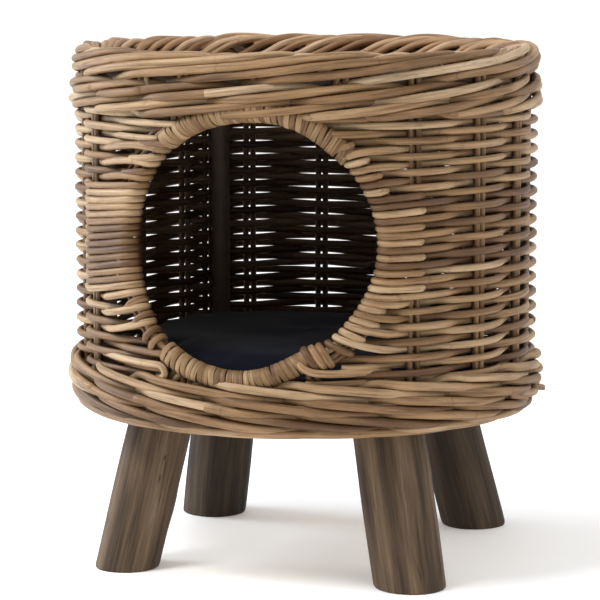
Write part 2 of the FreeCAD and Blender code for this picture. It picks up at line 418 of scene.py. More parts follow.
BLACK = (0, 0, 0)
WHITE = (1, 1, 1)
ROD_TONES = [
    (0.0, (0.125, 0.062, 0.025)),
    (0.30, (0.230, 0.130, 0.058)),
    (0.60, (0.325, 0.200, 0.098)),
    (1.0, (0.470, 0.335, 0.200)),
]
TOP_TONES = [
    (0.0, (0.180, 0.097, 0.042)),
    (0.30, (0.290, 0.172, 0.080)),
    (0.60, (0.390, 0.257, 0.137)),
    (1.0, (0.530, 0.400, 0.262)),
]
PEEL_TONES = [
    (0.0, (0.190, 0.108, 0.047)),
    (0.5, (0.300, 0.188, 0.088)),
    (1.0, (0.410, 0.282, 0.155)),
]
# The bark's own dark brown, kept darker still as painted shade for the frame inside the cabin
POLE_BARK_AND_PAINTED_SHADE_TONES = [
    (0.0, (0.035, 0.021, 0.013)),
    (0.5, (0.075, 0.048, 0.030)),
    (1.0, (0.140, 0.095, 0.060)),
]


# ---------------------------------------------------------------- the wall

def bowed_reach(side, rise):
    """How far the bowed stick beside the doorway stands from the doorway's middle."""
    if side > 0:
        return BOW_REACH
    return np.where(rise > 0, BOW_REACH + 7 * MM, BOW_REACH + 3 * MM)


def bowed_angle(side, height):
    """Where the bowed stick runs at this height."""
    rise = np.asarray(height, float) - DOOR_HEIGHT
    reach = bowed_reach(side, rise)
    x = side * np.sqrt(np.maximum(reach**2 - np.minimum(np.abs(rise), 0.108) ** 2, (50 * MM) ** 2))
    return np.arcsin(x / WALL_MIDDLE)


def wall_stakes(height):
    """The stakes that a wall row meets at this height, from the doorway's right side round to its left."""
    right = float(bowed_angle(1, height))
    left = float(bowed_angle(-1, height)) + TURN
    return [right] + [math.radians(a) for a in WALL_STAKES] + [left]


def post_middle(name):
    lo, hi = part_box(name)
    return (lo + hi) / 2


def clear_of_posts(radius, angle, rod):
    """Pushes a rod outwards where it passes a frame post."""
    for name in POSTS:
        middle = post_middle(name)
        turn = math.atan2(middle.x, -middle.y)
        outer = math.hypot(middle.x, middle.y) + (high(name).x - low(name).x) / 2
        apart = np.mod(angle - turn + math.pi, TURN) - math.pi
        near = np.exp(-((apart / math.radians(3.2)) ** 2))
        radius = radius + near * np.maximum(0, outer + rod * 0.9 - radius)
    return radius


def warp(angle, height):
    """How far the rows rise and fall round the basket."""
    near_door = np.exp(-((angle / 0.9) ** 2)) + np.exp(-(((angle - TURN) / 0.9) ** 2))
    sway = 1.1 * np.sin(3 * angle + 0.7 + height * 9) + 0.7 * np.sin(7 * angle + 2.1 - height * 23)
    middle = np.clip((height - BORDER_TOP) * (WALE_BOTTOM - height) / 0.0134, 0, 1)
    return (sway * (1 - 0.7 * near_door)) * middle * MM


def hill(turn, middle, width):
    """1 at an angle round the doorway, falling away over this width, all in degrees."""
    apart = np.mod(np.degrees(turn) - middle + 180, 360) - 180
    return np.exp(-((apart / width) ** 2))


def hoop_reach(turn):
    """The hoop's distance from the doorway's middle: it was bent by hand, so it isn't quite round."""
    uneven = 0.5 + 5.0 * hill(turn, 226, 26) - 6.5 * hill(turn, 295, 17)
    uneven += 2.5 * hill(turn, 70, 18) - 2.6 * hill(turn, 325, 20)
    return DOOR_HOOP_RADIUS + uneven * MM


def door_point(reach, turn, radius):
    """A point near the doorway: its distance and angle from the doorway's middle, and its depth."""
    angle = np.arcsin(np.clip(reach * np.cos(turn) / WALL_MIDDLE, -1, 1))
    return wall_point(radius, angle, DOOR_HEIGHT + reach * np.sin(turn))


FRONT = 212.6 * MM
BACK = 198.3 * MM
MIDDLE = 205.4 * MM
ROW_HEIGHTS = np.arange(BORDER_TOP + FIRST_ROW, WALE_BOTTOM - 1 * MM, ROW_PITCH)
HOOP_SWELL = ROD + 1.6 * MM
CORNER_REACH = 114 * MM
LOWEST_RUN = DOOR_HEIGHT - 107 * MM
INSET = 5.5 * MM


def contact_rise(side, rise):
    """How far above the doorway's middle a row crosses the hoop, from how far above it the row lies."""
    if side < 0:
        return 0.94 * rise + 8.6 * MM
    if rise > -42 * MM:
        return (0.93 if rise > 0 else 0.97) * rise
    return -40.7 * MM + 0.744 * (rise + 42 * MM)


def approach(side, start_angle, height, rise, straight=False, count=26):
    """Angles and heights from a place on the row to the hoop's inner edge."""
    contact = contact_rise(side, rise)
    turn = math.asin(np.clip(contact / DOOR_HOOP_RADIUS, -0.95, 0.95))
    for _ in range(4):
        edge = float(hoop_reach(turn if side > 0 else math.pi - turn)) - INSET
        turn = math.asin(np.clip(contact / edge, -0.95, 0.95))
    turn = turn if side > 0 else math.pi - turn
    out = np.array([math.cos(turn), math.sin(turn)])
    tip = edge * out
    start = np.array([WALL_MIDDLE * math.sin(start_angle), height - DOOR_HEIGHT])
    ahead = tip - start
    span = np.linalg.norm(ahead)
    # Only a straight rod reaches the hoop along its own way: the others bend towards the doorway's middle.
    arriving = ahead / span if straight else 0.68 * ahead / span - 0.32 * out
    arriving = arriving / np.linalg.norm(arriving)
    end = tip - arriving * HOOP_SWELL
    level_share = 0 if straight else np.clip((span - 24 * MM) / (50 * MM), 0, 1)
    leaving = level_share * np.array([-side, 0]) + (1 - level_share) * ahead / span
    first_handle, last_handle = 0.38, 0.34
    first = start + leaving * span * first_handle
    last = end - arriving * span * last_handle
    t = np.linspace(0, 1, count)[:, None]
    line = (1 - t) ** 3 * start + 3 * (1 - t) ** 2 * t * first + 3 * (1 - t) * t**2 * last + t**3 * end
    return np.arcsin(np.clip(line[:, 0] / WALL_MIDDLE, -1, 1)), line[:, 1] + DOOR_HEIGHT


def hoop_turn(angles, heights, steps=7):
    """The half turn from the front of the hoop to its back, past the line's last place."""
    ahead = np.array([(angles[-1] - angles[-3]) * WALL_MIDDLE, heights[-1] - heights[-3]])
    ahead = ahead / np.linalg.norm(ahead)
    swing = np.linspace(0, math.pi, steps)
    swell = HOOP_SWELL * np.sin(swing)
    depth = MIDDLE + (FRONT - BACK) / 2 * np.cos(swing)
    angle = angles[-1] + ahead[0] * swell / (WALL_MIDDLE * math.cos(angles[-1]))
    return wall_point(depth, angle, heights[-1] + ahead[1] * swell)


def closed_loop(bundle, side, start_angle, height, rise, rod):
    """A rod wound round both the hoop and an upright: out along the front, back along the inside."""
    angles, heights = approach(side, start_angle, height, rise, straight=True)
    swell = np.sin(np.linspace(0, math.pi, len(angles)))
    front = wall_point(FRONT + 0.8 * MM * swell, angles, heights)
    back = wall_point(BACK - 0.4 * MM * swell, angles, heights)[::-1]
    far = hoop_turn(angles[::-1], heights[::-1])[::-1][1:-1]
    line = np.concatenate([front[:-1], hoop_turn(angles, heights), back[1:-1], far])
    bundle.add(line, rod, closed=True, wobble=0.03)


def outside(row, stake):
    """Whether this row passes outside a stake, counted from the doorway's right side."""
    return (row + stake) % 2 == 0


def joins(side, row):
    """Whether this row runs on over the hoop, rather than ending at an upright behind a separate loop."""
    if side > 0:
        return outside(row, 1) if row in RIGHT_BLOCK else outside(row, 0)
    return row not in LEFT_BLOCK and row != LEFT_WRAPS[0] and outside(row, len(WALL_STAKES) + 1)


def make_doorway_wraps():
    """The closed loops beside the doorway, on each side of it."""
    sides = {-1: Bundle(11), 1: Bundle(12)}
    left_end = math.radians(WALL_STAKES[-1] - 360) + 1.6 * MM / WALL_MIDDLE
    ends = {-1: left_end, 1: math.radians(WALL_STAKES[0])}
    for side, bundle in sides.items():
        for row in LEFT_WRAPS if side < 0 else RIGHT_WRAPS:
            if joins(side, row):
                continue
            height = ROW_HEIGHTS[row]
            rod = ROD * bundle.random.uniform(0.90, 0.97)
            if row in (LEFT_BLOCK if side < 0 else RIGHT_BLOCK):
                end = ends[side] + bundle.random.uniform(-1, 1) * 1.0 * MM / WALL_MIDDLE
            else:
                rise = height - DOOR_HEIGHT
                height += 0.5 * (contact_rise(side, rise) - rise)
                end = float(bowed_angle(side, height))
                end += bundle.random.uniform(-1, 1) * 1.5 * MM / WALL_MIDDLE
            height += bundle.random.uniform(-0.2, 0.2) * MM
            closed_loop(bundle, side, end, height, ROW_HEIGHTS[row] - DOOR_HEIGHT, rod)
    add_corner_wraps(sides[1])
    add_hairpin(sides[-1])
    return sides


def add_corner_wraps(bundle):
    """Three thick rods wound round the hoop at its lower right, and one that crosses beneath them."""
    swing = np.linspace(0, TURN, 26, endpoint=False)
    first_place, step, lean = -54, 3, 0.006
    for number in range(3):
        turn = math.radians(first_place - step * number) + lean * (number - 1) * np.cos(swing)
        reach = CORNER_REACH - 2 * MM * number + (ROD + 6 * MM) * np.cos(swing)
        depth = MIDDLE + (ROD + 6.6 * MM) * np.sin(swing)
        bundle.add(door_point(reach, turn, depth), ROD * 1.06, closed=True, wobble=0.03)
    # The crossing rod comes up over the hoop's inner edge, falls to its level and sinks into the wall
    crossing_start, crossing_length = 44 * MM, 76 * MM
    along = np.linspace(0, 1, 34) ** 1.4
    run = crossing_length * along
    fall = 12 * MM * np.exp(-run / (7 * MM))
    over_edge = 12 * MM * np.exp(-run / (2 * MM))
    depth = FRONT + 4.5 * MM - over_edge - 20 * MM * along**2
    angle = np.arcsin((crossing_start + run) / WALL_MIDDLE)
    bundle.add(wall_point(depth, angle, LOWEST_RUN + fall), ROD)


def add_hairpin(bundle):
    """The end of a low row on the left, bent back on itself beside the bound part of the hoop."""
    bend_radius, bend_middle = 6 * MM, -78 * MM
    bend = np.linspace(math.pi / 2, -math.pi / 2, 9)
    run = np.linspace(-150, -80, 16) * MM
    tail = np.array([-82, -86]) * MM
    across = np.concatenate([run, bend_middle + bend_radius * np.cos(bend), tail])
    drop = np.concatenate([0 * run, bend_radius * (1 - np.sin(bend)), 0 * tail + 2 * bend_radius])
    along = np.linspace(0, 1, len(across))
    depth = FRONT + 2.5 * MM - 9 * MM * (1 - along) ** 3 - 11 * MM * along**9
    line = wall_point(depth, np.arcsin(across / WALL_MIDDLE), LOWEST_RUN + 1.5 * MM - drop)
    bundle.add(refine(line, 2), ROD * 0.95)


def refine(points, times):
    """A smooth line through a few points."""
    places = np.arange(len(points))
    fine = np.linspace(0, len(points) - 1, (len(points) - 1) * times + 1)
    line = np.stack([np.interp(fine, places, points[:, k]) for k in range(3)], -1)
    for _ in range(3):
        line[1:-1] = (line[:-2] + 2 * line[1:-1] + line[2:]) / 4
    return line


def make_wall():
    """The over-under rows of the wall, each from the doorway's right side round the back to its left."""
    bundle = Bundle(21)
    random = bundle.random
    for row, height in enumerate(ROW_HEIGHTS):
        rise = height - DOOR_HEIGHT
        stakes = wall_stakes(height)
        left = right = math.sqrt(max(BOW_REACH**2 - rise**2, (8 * MM) ** 2))
        if row < len(LOW_ENDS):
            left, right = LOW_ENDS[row]
        start, end = math.asin(right / WALL_MIDDLE), TURN - math.asin(left / WALL_MIDDLE)
        if row in RIGHT_WRAPS:
            meet = stakes[1] if row in RIGHT_BLOCK or joins(1, row) else stakes[0]
            start = meet + math.radians(1.2) * (1 if joins(1, row) else -1)
        if row in LEFT_WRAPS:
            meet = stakes[-2] if row in LEFT_BLOCK or joins(-1, row) else stakes[-1]
            end = meet + math.radians(1.2) * (-1 if joins(-1, row) else 1)
        angle = np.linspace(start, end, int((end - start) / math.radians(1.5)))
        passed = np.interp(angle, stakes, np.arange(len(stakes)))
        swing = np.cos(math.pi * passed) * (1 if row % 2 == 0 else -1)
        at_back = np.clip(-1.6 * np.cos(angle), 0, 1)
        swing = np.sign(swing) * np.abs(swing) ** (0.85 + 1.5 * at_back)
        swing = smooth(swing, 3)
        radius = WALL_MIDDLE + WEAVE_DEPTH * swing + ripple(random, angle, 0.4 * MM, 1.7)
        level = height + warp(angle, height) + (0.2 + 0.15 * at_back) * MM * swing
        level = level + ripple(random, angle, 0.25 * MM, 2.6)
        level = np.clip(level, BORDER_TOP + 1 * MM, WALE_BOTTOM + 1 * MM)
        radius = clear_of_posts(radius, angle, ROD)
        line = wall_point(radius, angle, level)
        if row in RIGHT_WRAPS and joins(1, row):
            line = np.concatenate([over_hoop(1, start, level[0], radius[0], rise)[::-1], line[1:]])
        if row in LEFT_WRAPS and joins(-1, row):
            line = np.concatenate([line[:-1], over_hoop(-1, end - TURN, level[-1], radius[-1], rise)])
        towards_back = np.cos(np.arctan2(line[:, 0], line[:, 1]))
        size = ROD * np.interp(towards_back, [-0.2, 0.6], [0.95, 1.09])
        add_in_lengths(bundle, line, size, random)
    return bundle


def over_hoop(side, start_angle, height, radius, rise):
    """The end of a row that runs on to the doorway, over its hoop and back inside."""
    angles, heights = approach(side, start_angle, height, rise)
    blend = np.minimum(np.linspace(0, 2, len(angles)), 1)
    depth = radius + (FRONT + 0.6 * MM - radius) * blend
    depth[-3:] = FRONT
    front = wall_point(depth, angles, heights)
    back = wall_point(BACK, angles, heights)[::-1][1:20]
    return np.concatenate([front[:-1], hoop_turn(angles, heights), back])


def add_in_lengths(bundle, line, rod, random):
    """Lays a row as several rods end to end, each with its own tone and thickness."""
    shortest, longest = 60, 140
    start = 0
    while start < len(line) - 6:
        stop = start + int(random.integers(shortest, longest))
        if len(line) - stop < shortest // 2:
            stop = len(line)
        piece = line[start:stop]
        size = rod[start:stop] * random.uniform(0.95, 1.05)
        taper = 1 + 0.05 * np.linspace(-1, 1, len(piece)) * random.choice([-1, 1])
        bundle.add(piece, size * taper, size * taper)
        start = stop - 2


def make_stakes():
    """Pairs of thin sticks, bowed where they pass the doorway."""
    bundle = Bundle(31)
    heights = np.linspace(BORDER_BOTTOM + 4 * MM, RIM_BOTTOM + 6 * MM, 60)
    rise = heights - DOOR_HEIGHT
    near = np.clip(1 - (np.abs(rise) - 104 * MM) / (42 * MM), 0, 1)
    near = near * near * (3 - 2 * near)
    for degrees in WALL_STAKES + SHORT_STAKES + list(DOOR_STAKES.values()):
        angle = math.radians(degrees)
        place = np.full_like(heights, angle)
        if degrees in DOOR_STAKES.values():
            bowed = bowed_angle(1 if degrees > 0 else -1, heights)
            place = angle + (bowed - angle) * near
        for half in (-1, 1):
            shift = half * STICK_SPACING / 2 / WALL_MIDDLE
            sway = ripple(bundle.random, heights, 0.5 * MM, 0.21) / WALL_MIDDLE
            line = wall_point(WALL_MIDDLE, place + shift + sway, heights)
            if degrees in SHORT_STAKES:
                gap = math.sqrt((BOW_REACH - 4 * MM) ** 2 - (WALL_MIDDLE * math.sin(angle)) ** 2)
                for part in (line[rise > gap], line[rise < -gap]):
                    bundle.add(part, STICK, wobble=0.03)
            else:
                bundle.add(line, STICK, wobble=0.03)
    return bundle


# ---------------------------------------------------------------- bands of waling

def wale_row(bundle, height, outer, rod, spread, lay, depth=1.0, start_shift=0):
    """One row of three rods, each in front of two stakes and behind one, twisting up or down as it goes.
    lay is +1 where the rods climb towards +X, -1 where they fall."""
    front = outer - rod
    back = WALL_MIDDLE - STICK - rod
    # A rod's place in its cycle of three stakes, its distance from the axis and its share of the spread
    knots = [
        (0.00, front - 9.0 * MM * depth, -1.05),
        (0.35, front - 1.2 * MM, -0.85),
        (0.90, front, -0.25),
        (1.45, front - 2.2 * MM * depth, 0.45),
        (2.00, front - 8.5 * MM * depth, 0.95),
        (2.50, back, 0.55),
    ]
    span = 6
    per_stake = 12
    for rod_number in range(3):
        begin = rod_number + 2.55 + start_shift
        for piece in range(BANDS // span):
            random = bundle.random
            count = begin + piece * span
            passed = np.linspace(count, count + span + 0.1, span * per_stake)
            angle = passed * TURN / BANDS
            read = cycle(passed + 0.5 - rod_number, knots, 3.0)
            radius = read[:, 0] + ripple(random, angle, 0.5 * MM, 1.1)
            level = height + lay * read[:, 1] * spread + ripple(random, angle, 0.6 * MM, 1.9)
            size = rod * random.uniform(0.92, 1.07)
            bundle.add(wall_point(radius, angle, level), size, size, sides=10)


def make_base_border():
    """Three stacked rows of thick waling round the base."""
    bundle = Bundle(41)
    tall = BORDER_TOP - BORDER_BOTTOM
    pitch = tall / 3
    outers = [BORDER_OUTER - 3.0 * MM, BORDER_OUTER, BORDER_OUTER - 2.0 * MM]
    for row, outer in enumerate(outers):
        height = BORDER_BOTTOM + pitch * (row + 0.5)
        wale_row(bundle, height, outer, 4.0 * MM, 7.0 * MM, -1, start_shift=row)
    add_cut_ends(bundle)
    return bundle


def add_cut_ends(bundle):
    """Trimmed tips of joined-in rods, pointing out and down between the border's rows."""
    random = bundle.random
    for turn in (73, 91, 97, 152, 171, 214):
        level = random.uniform(BORDER_BOTTOM + 5 * MM, BORDER_TOP - 6 * MM)
        run = np.linspace(0, 1, 7)
        angle = math.radians(turn) + 0.10 * run
        reach = BORDER_OUTER - 7 * MM + 7.5 * MM * run**1.5
        size = 2.9 * MM * (1 - 0.35 * run)
        bundle.add(wall_point(reach, angle, level - 5 * MM * run), size, tone=random.uniform(0.1, 0.5))


def make_foot_border():
    """The thin closing row under the base."""
    bundle = Bundle(42)
    height = (FOOT_BOTTOM + BORDER_BOTTOM) / 2 + 0.5 * MM
    wale_row(bundle, height, BORDER_OUTER - 9 * MM, 3.4 * MM, 1.6 * MM, -1, depth=0.6)
    return bundle


def make_upper_wale():
    """Two rows of thick waling under the rim."""
    bundle = Bundle(43)
    tall = WALE_TOP - WALE_BOTTOM
    for row in range(2):
        height = WALE_BOTTOM + tall * (row + 0.5) / 2
        outer = WALE_OUTER - row * 1.0 * MM
        wale_row(bundle, height, outer, 3.8 * MM, 6.4 * MM, 1, start_shift=row)
    return bundle


def make_top_border():
    """The rolled rim: long rods climb round its outside, and short ones cross its crest to the inside."""
    bundle = Bundle(44)
    random = bundle.random
    # How far in from the rim's outside the climbing rods run, and how far up from the wale to the crest
    climb_places = [0, 0.06, 0.13, 0.4, 0.6, 0.8, 0.9, 1]
    climb_inset = [16, 10, 4.2, 2.6, 4.6, 7.5, 14, 20]
    rise_places = [0, 0.06, 0.13, 0.8, 0.9, 1]
    crest = (RIM_TOP - WALE_TOP) / MM - 3.7
    climb_rise = [0, 3, 6.5, crest, crest, crest - 9.8]
    # The same for the short rods, down from the rim's top
    cross_places = [0, 0.2, 0.45, 0.75, 1]
    cross_inset = [9, 9, 13, 21.5, 24]
    cross_drop = [19.5, 8.5, 4.1, 9.5, 22.5]
    rods = 17
    for i in range(rods):
        start = TURN * i / rods + random.uniform(-0.03, 0.03)
        sweep = math.radians(84 + random.uniform(-5, 6))
        t = np.linspace(0, 1, 80)
        angle = start + sweep * t
        radius = smooth(RIM_OUTER - np.interp(t, climb_places, climb_inset) * MM, 9)
        level = smooth(WALE_TOP + np.interp(t, rise_places, climb_rise) * MM, 9)
        radius = radius + 0.9 * MM * np.sin(t * 14 + 2.4 * i) + ripple(random, angle, 0.4 * MM, 1.2)
        level = level + 0.8 * MM * np.cos(t * 11 + 2.4 * i) + ripple(random, angle, 0.5 * MM, 1.4)
        size = 3.8 * MM * random.uniform(0.90, 1.06)
        bundle.add(wall_point(radius, angle, level), size, sides=10)
    crossings = 60
    for i in range(crossings):
        start = TURN * i / crossings + random.uniform(-0.02, 0.02)
        sweep = math.radians(30 + random.uniform(-2, 3))
        t = np.linspace(0, 1, 30)
        angle = start + sweep * t
        radius = RIM_OUTER - np.interp(t, cross_places, cross_inset) * MM
        level = RIM_TOP - np.interp(t, cross_places, cross_drop) * MM
        size = 3.5 * MM * random.uniform(0.92, 1.08)
        line = wall_point(smooth(radius, 5), angle, smooth(level, 5))
        bundle.add(line, size)
    return bundle


def smooth(values, width):
    """A running average that keeps the ends."""
    pad = width // 2
    padded = np.concatenate([np.full(pad, values[0]), values, np.full(pad, values[-1])])
    return np.convolve(padded, np.ones(width) / width, "valid")


def make_top_panel():
    """The sunk top: rings woven over and under radial rods."""
    bundle = Bundle(45)
    random = bundle.random
    middle = (PANEL_TOP + PANEL_BOTTOM) / 2
    diameters = 9
    for i in range(diameters):
        turn = math.pi * i / diameters
        for half in (-1, 1):
            across = half * 2.8 * MM
            t = np.linspace(-PANEL_RADIUS, PANEL_RADIUS, 40)
            x = t * math.cos(turn) - across * math.sin(turn)
            y = t * math.sin(turn) + across * math.cos(turn)
            z = middle + 1.0 * MM * np.exp(-((t / 0.03) ** 2)) * (i % 3 - 1)
            bundle.add(np.stack([x, y, z], -1), 2.4 * MM, tone=random.uniform(0, 1))
    pitch = 6.6 * MM
    rings = int((PANEL_RADIUS - 16 * MM) / pitch)
    for ring in range(rings):
        radius = 17 * MM + ring * pitch
        steps = max(40, int(TURN * radius / (5.5 * MM)))
        angle = np.linspace(0, TURN, steps, endpoint=False)
        level = middle + 3.4 * MM * np.cos(angle * diameters + math.pi * ring)
        line = np.stack([radius * np.cos(angle), radius * np.sin(angle), level], -1)
        bundle.add(line, 3.2 * MM, closed=True, tone=random.uniform(0, 1))
    return bundle


# ---------------------------------------------------------------- the doorway's hoop

def make_door_ring():
    bundle = Bundle(51)
    turn = np.linspace(0, TURN, 120, endpoint=False)
    bundle.add(door_point(hoop_reach(turn), turn, MIDDLE), 3.4 * MM, closed=True)
    return bundle


def make_binding(from_degrees, to_degrees, seed):
    """Flat split peel wound round the hoop, turn beside turn."""
    bundle = Bundle(seed)
    random = bundle.random
    pitch = 5.1 * MM
    start, end = math.radians(from_degrees), math.radians(to_degrees)
    count = int((end - start) * DOOR_HOOP_RADIUS / pitch)
    swing = np.linspace(0, TURN, 32, endpoint=False)
    for i in range(count + 1):
        place = start + (end - start) * i / count + random.uniform(-0.002, 0.002)
        lean = 0.014 + random.uniform(-0.010, 0.010)
        wide = 8.6 * MM + random.uniform(-0.25, 0.25) * MM
        deep = 9.7 * MM + random.uniform(-0.2, 0.2) * MM
        turn = place + lean * np.cos(swing) + 0.008 * np.sin(swing)
        middle = hoop_reach(turn) - 0.3 * MM
        path = door_point(middle + wide * np.cos(swing), turn, MIDDLE + deep * np.sin(swing))
        inside = door_point(middle + 0.5 * wide * np.cos(swing), turn, MIDDLE + 0.5 * deep * np.sin(swing))
        half = pitch / 2 * random.uniform(0.94, 1.06)
        outwards = path - inside
        bundle.add(path, half, 0.8 * MM, sides=12, closed=True, normals=outwards, wobble=0.02, square=0.55)
    return bundle


# ---------------------------------------------------------------- legs

def make_leg(name, material, seed):
    """A branch of weathered wood: uneven girth, long furrows, a knot or two and a softened sawn foot."""
    random = np.random.default_rng(seed)
    height = high(name).z
    cad = np.array([v.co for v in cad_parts[name].data.vertices])
    foot_ring = cad[cad[:, 2] < 5 * MM]
    top_ring = cad[cad[:, 2] > height - 1 * MM]
    foot = (foot_ring.max(0) + foot_ring.min(0)) / 2
    top = (top_ring.max(0) + top_ring.min(0)) / 2
    foot[2], top[2] = 0, height
    lean = unit(top - foot)
    flat = unit(np.array([lean[0], lean[1], 0]))
    side = np.array([-flat[1], flat[0], 0])
    half_side = (top_ring - top) @ side
    radius = (half_side.max() - half_side.min()) / 2
    stretch = 1 / lean[2]
    softened = 3.6 * MM
    around, up = 96, 60
    angles = np.linspace(0, TURN, around, endpoint=False)
    levels = np.concatenate([[0, 0.8, 2.0, 3.6], np.linspace(6, height / MM, up - 4)]) * MM
    # Waves round the branch: how many, how deep, where they start and how they drift as they climb
    lobes = [
        (k, 0.020 * (random.uniform(0.25, 1.0) / k**0.9), random.uniform(0, TURN), random.uniform(-5, 5))
        for k in range(2, 8)
    ]
    furrows = [
        (
            random.integers(12, 44), 0.0035 * random.uniform(0.3, 1),
            random.uniform(0, TURN), 2 * random.uniform(-6, 6),
        )
        for _ in range(12)
    ]
    knots = [
        (random.uniform(0, TURN), random.uniform(25, 125) * MM, random.uniform(5, 9) * MM)
        for _ in range(2)
    ]
    rows, grain = [], []
    shift = seed * 0.37
    for z in levels:
        girth = np.ones(around)
        for k, size, start, drift in lobes + furrows:
            girth += size * np.cos(k * angles + start + drift * z)
        girth += 0.012 * math.sin(z * 38 + seed)
        for place, knot_height, wide in knots:
            apart = np.mod(angles - place + math.pi, TURN) - math.pi
            gap = (apart * radius / wide) ** 2 + ((z - knot_height) / (wide * 1.5)) ** 2
            girth += 0.045 * np.exp(-gap) - 0.035 * np.exp(-gap * 9)
        edge = min(z / softened, 1)
        inset = 1 - 0.055 * (1 - math.sqrt(1 - (1 - edge) ** 2))
        reach = (radius * girth * inset)[:, None]
        ahead, beside = np.cos(angles)[:, None], np.sin(angles)[:, None]
        ring = foot + (top - foot) * (z / height) + ahead * flat * (reach * stretch) + beside * side * reach
        ring[:, 2] = z
        rows.append(ring)
        grain.append(np.concatenate([ahead * radius, beside * radius, np.full((around, 1), z)], -1) + shift)
    count = len(levels)
    points = np.concatenate(rows + [foot[None], top[None]])
    grain += [np.array([[0, 0, 0.0]]) + shift, np.array([[0, 0, height]]) + shift]
    faces = []
    for i in range(around):
        k = (i + 1) % around
        for j in range(0, (count - 1) * around, around):
            faces.append([j + i, j + k, j + around + k, j + around + i])
        last = (count - 1) * around
        faces.append([count * around, k, i])
        faces.append([count * around + 1, last + i, last + k])
    piece = new_piece(name + "_branch", points, faces, {"grain": np.concatenate(grain)}, material)
    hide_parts(name)


def leg_wood(name, light):
    """Weathered teak branch: warm grey-brown with long dark streaks and fine cracks. light scales the colour:
    below 1 it is painted shade.
    """
    material, tree = new_material(name)
    grain = reading(tree, "grain", "Vector")
    bend_socket = {"Vector": stretched(tree, grain, (30, 30, 6)), "Scale": 1.0, "Detail": 2.0}
    bend = node(tree, "ShaderNodeTexNoise", bend_socket).outputs["Color"]
    bent = node(tree, "ShaderNodeVectorMath", {0: bend, 1: (0.006, 0.006, 0.0)}, operation="MULTIPLY")
    grain = node(tree, "ShaderNodeVectorMath", {0: grain, 1: bent.outputs[0]}, operation="ADD").outputs[0]
    broad = noise(tree, stretched(tree, grain, (55, 55, 5)), 1.0, 4.0, 0.6)
    fine = noise(tree, stretched(tree, grain, (420, 420, 14)), 1.0, 5.0, 0.7)
    # light below 1 darkens the whole colour as painted shade
    colour = mix(tree, 1.0, ramp(tree, broad, LEG_TONES), (light, light, light, 1), "MULTIPLY")
    fine_shades = [(0.30, (0.35, 0.33, 0.31)), (0.50, (0.9, 0.9, 0.9)), (0.70, (1.30, 1.28, 1.25))]
    colour = shaded(tree, colour, 0.85, fine, fine_shades)
    crack_field = noise(tree, stretched(tree, grain, (150, 150, 7)), 1.0, 2.0, 0.5)
    crack = maths(tree, "ABSOLUTE", maths(tree, "SUBTRACT", crack_field, 0.5))
    crack = mapped(tree, crack, (0.0, 0.012), (1.0, 0.0))
    patches = noise(tree, stretched(tree, grain, (20, 20, 12)), 1.0, 1.0)
    crack = maths(tree, "MULTIPLY", crack, ramp(tree, patches, [(0.52, BLACK), (0.60, WHITE)]))
    colour = mix(tree, maths(tree, "MULTIPLY", crack, 0.85), colour, (0.015, 0.012, 0.010, 1))
    height = maths(tree, "SUBTRACT", maths(tree, "ADD", maths(tree, "MULTIPLY", fine, 0.7), broad), crack)
    return complete(material, colour, {"Roughness": 0.72, "Specular IOR Level": 0.3}, height, 0.55, 1.2 * MM)


LEG_TONES = [
    (0.25, (0.030, 0.019, 0.011)),
    (0.45, (0.078, 0.049, 0.028)),
    (0.6, (0.138, 0.091, 0.054)),
    (0.8, (0.230, 0.165, 0.105)),
]


# ---------------------------------------------------------------- plain materials on kept CAD nodes

def placed_material(name):
    """A new material, its node tree, and the place on the object that its pattern is read at."""
    material, tree = new_material(name)
    return material, tree, node(tree, "ShaderNodeTexCoord").outputs["Object"]


def plywood():
    material, tree, place = placed_material("plywood")
    grain = noise(tree, stretched(tree, place, (9, 160, 160)), 1.0, 4.0)
    colour = ramp(tree, grain, [(0.3, (0.36, 0.25, 0.15)), (0.7, (0.56, 0.43, 0.28))])
    return complete(material, colour, {"Roughness": 0.7}, grain, 0.2, 0.5 * MM)


def pole_wood():
    """Bark-on pole for the CAD hoops, posts and bearers: its own dark bark, darkened further as painted shade
    since these sit in the shaded cabin.
    """
    material, tree, place = placed_material("pole_wood")
    blotch = noise(tree, place, 60.0, 5.0)
    fine = noise(tree, stretched(tree, place, (700, 700, 60)), 1.0, 3.0)
    shade = maths(tree, "ADD", maths(tree, "MULTIPLY", blotch, 0.7), maths(tree, "MULTIPLY", fine, 0.3))
    return complete(material, ramp(tree, shade, POLE_BARK_AND_PAINTED_SHADE_TONES), {"Roughness": 0.6}, fine, 0.3, 0.6 * MM)


def zinc():
    material, tree, place = placed_material("zinc")
    spots = noise(tree, place, 900.0, 3.0)
    colour = ramp(tree, spots, [(0.3, (0.45, 0.45, 0.47)), (0.7, (0.66, 0.66, 0.68))])
    return complete(material, colour, {"Metallic": 1.0, "Roughness": 0.38})


def dark_cloth():
    """Near-black navy brushed cloth with a fine weave."""
    material, tree, place = placed_material("dark_cloth")
    sockets = {"Vector": place, "Scale": 260.0, "Distortion": 0.6, "Detail": 1.0}
    threads = [node(tree, "ShaderNodeTexWave", sockets, bands_direction=way).outputs["Fac"] for way in "XY"]
    weave = maths(tree, "MULTIPLY", *threads)
    fuzz = noise(tree, place, 45.0, 6.0, 0.7)
    shade = maths(tree, "ADD", maths(tree, "MULTIPLY", weave, 0.35), maths(tree, "MULTIPLY", fuzz, 0.65))
    colour = ramp(tree, shade, [(0.25, (0.0012, 0.0018, 0.0058)), (0.75, (0.0036, 0.0052, 0.0135))])
    uniform = {"Roughness": 0.92, "Sheen Weight": 0.08, "Sheen Roughness": 0.4, "Specular IOR Level": 0.2}
    return complete(material, colour, uniform, shade, 0.4, 0.6 * MM)


# ---------------------------------------------------------------- cushion

